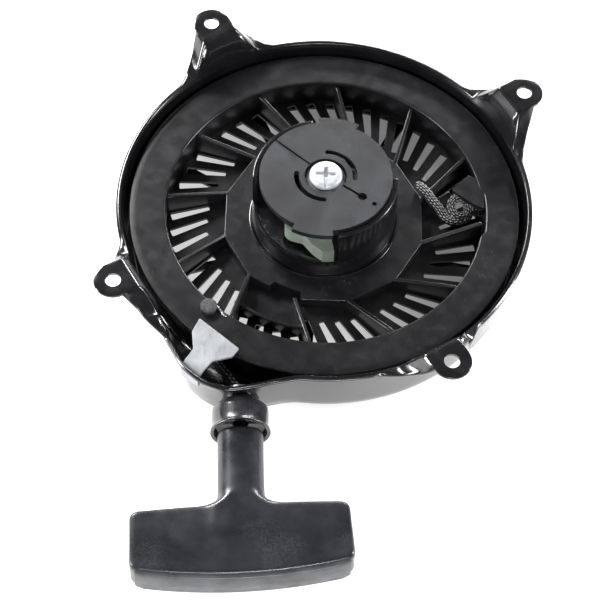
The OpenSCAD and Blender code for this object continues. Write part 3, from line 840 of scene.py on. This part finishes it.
def build_hub():
    pieces = []
    low = [(32.3, WEB_BOTTOM), (35.0, WEB_BOTTOM), (35.0, -16.9), (34.8, -16.45), (34.4, -16.3), (32.9, -16.3),
           (32.5, -16.5), (32.3, -17.0)]
    pieces.append(make("hub_wall", *lathe(low, 180), HUB, None))
    for k in range(2):
        tall = arc_wall(32.3, 35.0, -17.5, HUB_TOP, -77 + 180 * k, 3 + 180 * k, 0.7)
        pieces.append(make("hub_tall_%d" % k, *tall, HUB, None))
    deck = [(8.05, -19.0), (32.6, -19.0), (32.6, -17.0), (31.9, -17.0), (31.2, -17.5), (12.6, -17.5), (11.6, -16.6),
            (11.0, -15.4), (11.0, -4.4), (10.6, -4.0), (8.3, -4.0), (8.05, -4.3)]
    pieces.append(make("hub_deck", *lathe(deck, 120), HUB, None))
    base = [(8.05, WEB_BOTTOM), (32.6, WEB_BOTTOM), (32.6, WEB_TOP), (8.05, WEB_TOP)]
    pieces.append(make("hub_base", *lathe(base, 120), HUB, None))
    for k, a in enumerate((-125, 55)):
        cx, cy = polar(23, a)
        post = [(0.02, -18.0), (3.6, -18.0), (3.6, -17.2), (3.0, -16.6), (3.0, -4.0), (2.6, -3.5), (0.02, -3.5)]
        post_at = lathe(post, 40, lambda x, y, z, cx=cx, cy=cy: (cx + x, cy + y, z))
        pieces.append(make("hub_post_%d" % k, *post_at, HUB, None))
    for piece in pieces:
        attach(piece, "sheave")
    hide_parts("pawl_hub")


def build_peg():
    cx, cy = polar(80.6, -130)
    cap = [(0.02, -20.3), (3.7, -20.3), (3.75, -18.2), (4.0, -18.0), (4.05, -17.7), (3.8, -17.4), (2.0, -17.3),
           (0.02, -17.35)]
    peg = make("peg_head", *lathe(cap, 40, lambda x, y, z: (cx + x, cy + y, z)), PEG, "sheave", sharp=60)
    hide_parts("sheave_peg")
    # Painted highlight: a bright steel strip on the flange's inner edge beside the peg stands in for light caught
    # on that edge
    bar = catmull([(-48.4, -60.2, -19.9), (-46.0, -63.2, -19.7), (-43.4, -66.1, -19.9)], 8)
    painted_highlight = make("painted_highlight_strip", *tube(bar, [0.4] + [0.7] * (len(bar) - 2) + [0.4], 10), STEEL, "sheave")


build_sheave()
build_hub()
build_peg()


# ---------------------------------------------------------------- ropes

def braid(name, path, radius, body, rows=(), carriers=8, gap=5):
    """A braided rope along a path: two families of strands that cross, and rows of light grey flecks on its upper
    side, painted glints of the braid.
    """
    path = resample(path, 0.5)
    frames = []
    side = None
    for i, p in enumerate(path):
        t = (path[min(i + 1, len(path) - 1)] - path[max(i - 1, 0)]).normalized()
        if side is None:
            side = t.cross(Vector((0, 0, 1))).normalized()
        side = (side - t * side.dot(t)).normalized()
        frames.append((side, side.cross(t)))
    pitch = radius * 7.0
    parts = [tube(path, radius * 0.78, 10)]

    def on_rope(i, angle, r):
        s, u = frames[i]
        return path[i] + (s * math.cos(angle) + u * math.sin(angle)) * r

    for turn in (1, -1):
        for c in range(carriers):
            line = []
            for i in range(len(path)):
                along = i * 0.5 / pitch * 2 * math.pi
                angle = turn * along + c * 2 * math.pi / carriers
                over = math.cos(along * carriers + c * math.pi + (0 if turn > 0 else math.pi))
                line.append(on_rope(i, angle, radius * (0.84 + 0.035 * over)))
            parts.append(tube(line, radius * 0.2, 6))
    rope = make(name, *merge(*parts), ROPE, body, sharp=80)
    # Painted glints: light grey flecks in rows on the rope's upper side
    painted_glint_marks = []
    for angle, phase in rows:
        i = 2 + phase
        while i < len(path) - 3:
            line = [on_rope(i + k, angle + 0.05 * k, radius * (1.0 + lift))
                    for k, lift in ((0, 0.0), (1, 0.04), (2, 0.04), (3, 0.0))]
            painted_glint_marks.append(tube(line, [0.08, 0.22, 0.22, 0.08], 6))
            i += gap
    if painted_glint_marks:
        painted_glint = make(name + "_fleck", *merge(*painted_glint_marks), PAINTED_GLINT, body, sharp=80)
    return rope


def axis_braid_finish():
    """The braid as a pattern of crossing strands along the outlet axis, which keeps its size as it runs."""
    mat = bpy.data.materials.new("rope_running")
    mat.use_nodes = True
    nt = mat.node_tree
    nodes, links = nt.nodes, nt.links
    bsdf = nodes["Principled BSDF"]
    coord = nodes.new("ShaderNodeTexCoord")
    place = nodes.new("ShaderNodeMapping")
    place.vector_type = "TEXTURE"
    place.inputs["Location"].default_value = OUTLET * MM
    place.inputs["Rotation"].default_value = (0, 0, OUTLET_LEAN)
    links.new(coord.outputs["Object"], place.inputs["Vector"])
    split = nodes.new("ShaderNodeSeparateXYZ")
    links.new(place.outputs["Vector"], split.inputs[0])

    def op(operation, a, b=0.0):
        return node_math(nt, operation, a, b)

    along = op("MULTIPLY", split.outputs["Y"], 2 * math.pi / (0.0158 / 8))
    around = op("MULTIPLY", op("ARCTAN2", split.outputs["Z"], split.outputs["X"]), 8.0)
    one = op("SINE", op("ADD", along, around))
    two = op("SINE", op("SUBTRACT", along, around))
    height = op("MAXIMUM", one, two)
    bump = nodes.new("ShaderNodeBump")
    bump.inputs["Distance"].default_value = 0.0004
    links.new(height, bump.inputs["Height"])
    links.new(bump.outputs["Normal"], bsdf.inputs["Normal"])
    ramp = nodes.new("ShaderNodeValToRGB")
    ramp.color_ramp.elements[0].color = (0.006, 0.006, 0.007, 1)
    ramp.color_ramp.elements[1].color = (0.024, 0.024, 0.027, 1)
    links.new(height, ramp.inputs["Fac"])
    links.new(ramp.outputs["Color"], bsdf.inputs["Base Color"])
    bsdf.inputs["Roughness"].default_value = 0.6
    return mat


def build_ropes():
    # Two turns wound in the groove
    turns = [polar(85.95, k * 4, lerp(-32.6, -27.4, smooth((k - 82) / 14))) for k in range(0, 178)]
    winding = braid("winding", [Vector(p) for p in turns], 2.2, "sheave", carriers=4)
    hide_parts("rope_winding")

    # From the winding to the eyelet: it leaves the drum at a tangent
    start = outlet_point(0, 0, -7.0)
    flat = math.hypot(start.x, start.y)
    turn = math.degrees(math.atan2(start.y, start.x)) - math.degrees(math.acos(90.6 / flat))
    wrap = [Vector(polar(90.6 - 0.02 * (turn - a), a, ROPE_Z)) for a in (turn - 34, turn - 22, turn - 10, turn)]
    wrap += [wrap[-1].lerp(start, 0.4), wrap[-1].lerp(start, 0.8)]
    wrap += [outlet_point(0, 0, -4.5), outlet_point(0, 0, 0.5)]
    # The lead carries two rows of painted glints on its upper side
    lead = braid("lead", catmull(wrap, 10), ROPE_R, "housing", rows=((1.25, 0), (1.95, 2)))
    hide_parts("rope_lead")

    # Anchor knot: in through the drum walls, round itself, and out over the platform
    route = [(82.5, 10, -30), (79, 10, -30), (73.5, 10, -30.3), (68.5, 6.5, -31), (64, 6.5, -29.5), (62, 11, -27.5),
             (66, 15, -27), (70.5, 12, -28), (70.5, 6.5, -31.5), (65, 3.5, -31.5), (60, 5, -31), (56.5, 9, -28.6),
             (53, 12.2, -26.8), (50, 15.5, -25), (47, 18.5, -25), (45, 20, -25.4)]
    # Rows of painted glints round the upper side of the knot's rope
    rows = ((0.1, 0), (0.55, 2), (1.0, 1), (1.5, 3), (2.0, 0), (2.5, 2), (3.0, 1))
    knot = braid("knot", catmull(route, 10), ROPE_R, "sheave", rows=rows, gap=4)
    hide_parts("rope_anchor_knot")

    # Through the collar and the handle: it runs on as the handle is pulled
    path = [outlet_point(0, 0, s) for s in [-1 + 0.25 * k for k in range(75)] + [20 + 2 * k for k in range(23)]]
    line = make("handle_line", *tube(path, ROPE_R * 0.97, 24), axis_braid_finish(), None, sharp=80)
    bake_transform(line)
    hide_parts("handle_rope")

    # Stopper knot inside the handle
    ball = [outlet_point(4.3 * math.cos(k * 0.7) * (1 - 0.15 * (k % 3)), 4.3 * math.sin(k * 0.7), 64 + 0.45 * k)
            for k in range(14)]
    stop = braid("stopper", catmull(ball, 6), 2.0, "handle")
    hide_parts("handle_knot")


build_ropes()


# ---------------------------------------------------------------- screw and handle

def build_screw():
    head = [(0.02, -22.0), (2.9, -22.0), (3.0, -21.6), (3.0, 4.4), (7.3, 4.5), (7.75, 4.8), (7.9, 5.4), (7.9, 6.5),
            (7.6, 7.2), (6.9, 7.7), (5.5, 7.86), (0.02, 7.9)]
    screw = make("screw_body", *lathe(head, 96), ZINC, None, sharp=45)
    cutters = []
    for turn in (0, 90, 180, 270):
        c, s = math.cos(math.radians(turn)), math.sin(math.radians(turn))
        wedge = [(-1.0, -1.15, 6.0), (4.4, -0.7, 6.9), (4.4, 0.7, 6.9), (-1.0, 1.15, 6.0),
                 (-1.0, -1.35, 8.4), (5.4, -0.95, 8.4), (5.4, 0.95, 8.4), (-1.0, 1.35, 8.4)]
        wedge = [(x * c - y * s, x * s + y * c, z) for x, y, z in wedge]
        cutters.append(make("wedge", wedge, [(0, 3, 2, 1), (4, 5, 6, 7), (0, 1, 5, 4), (1, 2, 6, 5), (2, 3, 7, 6),
                                             (3, 0, 4, 7)], ZINC, None))
    notch = [(-0.85, -9.0), (0.85, -9.0), (0.85, -3.0), (-0.85, -3.0)]
    cutters.append(make("notch", *prism(notch, 6.7, 9), ZINC, None))
    cut(screw, cutters, sharp=40)
    bevel(screw, 0.16, 2, 40)
    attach(screw, "housing")
    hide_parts("centre_screw")


def bar_far(x):
    """Where the grip's far edge is, along the axis: it bows out in the middle."""
    return BAR_END - 5.0 * (x / 50.0) ** 2


def turned(x, s):
    """The bar sits slightly turned on the stem: from the bar's own x and s to those of the outlet axis."""
    c, n = math.cos(BAR_TURN), math.sin(BAR_TURN)
    return x * c + (s - BAR_MIDDLE) * n, BAR_MIDDLE - x * n + (s - BAR_MIDDLE) * c


def grip_field(x, y, s):
    """Distance-like field of the grip: a bar with rounded edges, and a stem that flows into it."""
    c, n = math.cos(BAR_TURN), math.sin(BAR_TURN)
    across, out = x * c - (s - BAR_MIDDLE) * n, BAR_MIDDLE + x * n + (s - BAR_MIDDLE) * c
    near = BAR_START + 1.4 * (across / 50.0) ** 2
    far = bar_far(across)
    middle, half = (near + far) / 2, (far - near) / 2
    edge, corner = 1.9, 3.6
    qx = np.abs(across) - (50.0 - corner - 0.8 * (far - out) / 30)
    qs = np.abs(out - middle) - (half - corner)
    plan = np.hypot(np.maximum(qx, 0), np.maximum(qs, 0)) + np.minimum(np.maximum(qx, qs), 0) - corner
    u, v = plan + edge, np.abs(y) - (8.5 - edge)
    bar = np.hypot(np.maximum(u, 0), np.maximum(v, 0)) + np.minimum(np.maximum(u, v), 0) - edge
    width = 10.6 + 0.35 * np.clip((s - 40) / 20, 0, 1)
    round_part = (np.abs(x / width) ** 2.6 + np.abs(y / 9.6) ** 2.6) ** (1 / 2.6) * 9.8 - 9.8
    ends = np.maximum(17.0 - s, s - 66.0)
    u, v = round_part + 0.9, ends + 0.9
    stem = np.hypot(np.maximum(u, 0), np.maximum(v, 0)) + np.minimum(np.maximum(u, v), 0) - 0.9
    k = 8.5
    h = np.clip(0.5 + 0.5 * (bar - stem) / k, 0, 1)
    blended = bar * (1 - h) + stem * h - k * h * (1 - h)
    # The fillet spreads in the plane of the bar and hardly lifts its broad faces
    faces = np.abs(y) - 9.6
    return np.maximum(blended, faces)


def build_handle():
    points, faces = surface_nets(grip_field, (-53.0, -11.0, 15.0), (53.0, 11.0, 93.0), 0.8)
    verts = [outlet_point(*p) for p in points]
    grip = make("grip_body", verts, faces, HANDLE, None, sharp=60)
    m = grip.modifiers.new("relax", "SMOOTH")
    m.factor = 0.5
    m.iterations = 4
    apply_all(grip, sharp=70)
    bore = make("bore", *lathe([(0.01, 10), (3.0, 10), (3.0, 60), (0.01, 60)], 40, outlet_point), HANDLE, None)
    cut(grip, [bore], sharp=60)
    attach(grip, "handle")
    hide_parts("handle_grip")

    # Cap strip on the end face, a little smaller than the face
    xs = [-48.0 + 2 * k for k in range(49)]
    verts = []
    for x in xs:
        s0, s1 = bar_far(x) - 1.5, bar_far(x) + 2.0
        droop = 1.2 * smooth((abs(x) - 44) / 4.4)
        for y, s in ((-8.0, s0), (7.2, s0), (7.2, s1 - 1.1 - droop), (6.8, s1 - 0.4 - droop), (6.0, s1 - droop),
                     (-6.6, s1 - droop), (-7.6, s1 - 0.5 - droop), (-8.0, s1 - 1.3 - droop)):
            across, out = turned(x, s)
            verts.append(outlet_point(across, y, out))
    faces = grid_faces(len(xs), 8, close_cols=True)
    faces += [tuple(range(8)), tuple(range(48 * 8, 49 * 8))]
    cap = make("cap_strip", verts, faces, CAP, None, sharp=50)
    bevel(cap, 0.6, 3, 50)
    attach(cap, "handle")
    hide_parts("handle_end_cap")


build_screw()
build_handle()


# ---------------------------------------------------------------- pieces kept from the CAD

CAD_FINISH = {
    "rope_eyelet": (STEEL, 0.3), "centre_post": (STEEL, 0.3), "post_thrust_washer": (STEEL, 0.1),
    "recoil_spring": (SPRING, 0.08), "spring_keeper": (STEEL, 0.1), "pawl_a": (PAWL, 0.45), "pawl_b": (PAWL, 0.45),
    "pawl_spring_a": (SPRING, 0.0), "pawl_spring_b": (SPRING, 0.0), "retainer_disc": (RETAINER, 0.3),
    "brake_spring": (SPRING, 0.0), "brake_washer": (SPRING, 0.15), "handle_washer": (STEEL, 0.15),
}
for node_name, (material, width) in CAD_FINISH.items():
    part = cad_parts[node_name]
    part.data.materials.clear()
    part.data.materials.append(material)
    if width:
        bevel(part, width, 3, 40)


# ---------------------------------------------------------------- floor, light and camera

def build_stage():
    floor_mat = finish("pale_floor", (0.72, 0.72, 0.72), 0.6, grain=(300, 0.05), mottle=(8, 0.02))
    bsdf = floor_mat.node_tree.nodes["Principled BSDF"]
    bsdf.inputs["Emission Color"].default_value = (1, 1, 1, 1)
    # Painted light and shade: under the sheave the floor's glow is strong at the left and front and turned down
    # towards the right and the back, where less light comes in
    nodes, links = floor_mat.node_tree.nodes, floor_mat.node_tree.links
    split = nodes.new("ShaderNodeSeparateXYZ")
    links.new(nodes.new("ShaderNodeTexCoord").outputs["Object"], split.inputs[0])

    def op(operation, a, b=0.0):
        return node_math(floor_mat.node_tree, operation, a, b)

    x, y = split.outputs["X"], split.outputs["Y"]
    slant = op("ADD", x, op("MULTIPLY", y, 0.7))
    radius = op("SQRT", op("ADD", op("MULTIPLY", x, x), op("MULTIPLY", y, y)))
    far_out = node_ramp(floor_mat.node_tree, radius, 0.085, 0.1)
    # Painted light and shade: the glow under the sheave falls from 0.62 at the left and front to 0.16 at the right
    # and back
    under = node_ramp(floor_mat.node_tree, slant, -0.05, 0.06, 0.62, 0.16)
    glow_with_painted_shade = op("MAXIMUM", under, op("MULTIPLY", far_out, 0.85))
    links.new(glow_with_painted_shade, bsdf.inputs["Emission Strength"])
    mesh = bpy.data.meshes.new("floor")
    corners = [(x, y, FLOOR_Z * MM) for x, y in ((-6, -6), (6, -6), (6, 6), (-6, 6))]
    mesh.from_pydata(corners, [], [(0, 1, 2, 3)])
    floor = bpy.data.objects.new("floor", mesh)
    mesh.materials.append(floor_mat)
    bpy.context.scene.collection.objects.link(floor)

    world = bpy.data.worlds.new("studio")
    bpy.context.scene.world = world
    world.use_nodes = True
    world.node_tree.nodes["Background"].inputs[0].default_value = (1, 1, 1, 1)
    world.node_tree.nodes["Background"].inputs[1].default_value = 0.13

    def area(name, at, to, size, power):
        data = bpy.data.lights.new(name, "AREA")
        data.shape = "RECTANGLE"
        data.size, data.size_y = size
        data.energy = power
        lamp = bpy.data.objects.new(name, data)
        bpy.context.scene.collection.objects.link(lamp)
        lamp.location = at
        aim = Vector(to) - Vector(at)
        lamp.rotation_mode = "QUATERNION"
        lamp.rotation_quaternion = aim.to_track_quat("-Z", "Y")

    area("key", (-0.55, 0.60, 0.50), (0, 0, -0.02), (0.40, 0.20), 14)
    area("back", (0.30, 0.95, 0.35), (0, 0, -0.02), (0.60, 0.14), 12)
    area("right", (0.90, 0.05, 0.35), (0, 0, -0.02), (0.14, 0.50), 9)
    area("left", (-0.90, -0.20, 0.30), (0, -0.05, -0.02), (0.16, 0.50), 10)
    area("front", (0.10, -0.90, 0.40), (0, -0.1, -0.03), (0.45, 0.12), 6)


def build_camera():
    """1 m away and 54.5 degrees above the floor, with a slight roll and the target off the frame's middle."""
    elevation, roll = 0.9519, -0.0519
    target, distance = Vector((0, 0, -0.020)), 0.99814
    back = Vector((0, -math.cos(elevation), math.sin(elevation)))
    up = Vector((0, math.sin(elevation), math.cos(elevation)))
    base = Matrix((Vector((1, 0, 0)), up, back)).transposed()
    swing = Vector((0, 0, -1)).rotation_difference(Vector((0.00946, 0.04586, -1)).normalized()).to_matrix()
    turn = Matrix.Rotation(roll, 3, "Z")
    world_to_cam = turn @ swing @ base.transposed()
    data = bpy.data.cameras.new("camera")
    data.lens, data.sensor_width = 122.83, 36.0
    data.clip_start, data.clip_end = 0.05, 20
    camera = bpy.data.objects.new("camera", data)
    bpy.context.scene.collection.objects.link(camera)
    camera.matrix_world = Matrix.Translation(target + back * distance) @ world_to_cam.transposed().to_4x4()
    bpy.context.scene.camera = camera
    bpy.context.scene.view_settings.view_transform = "Standard"


build_stage()
build_camera()
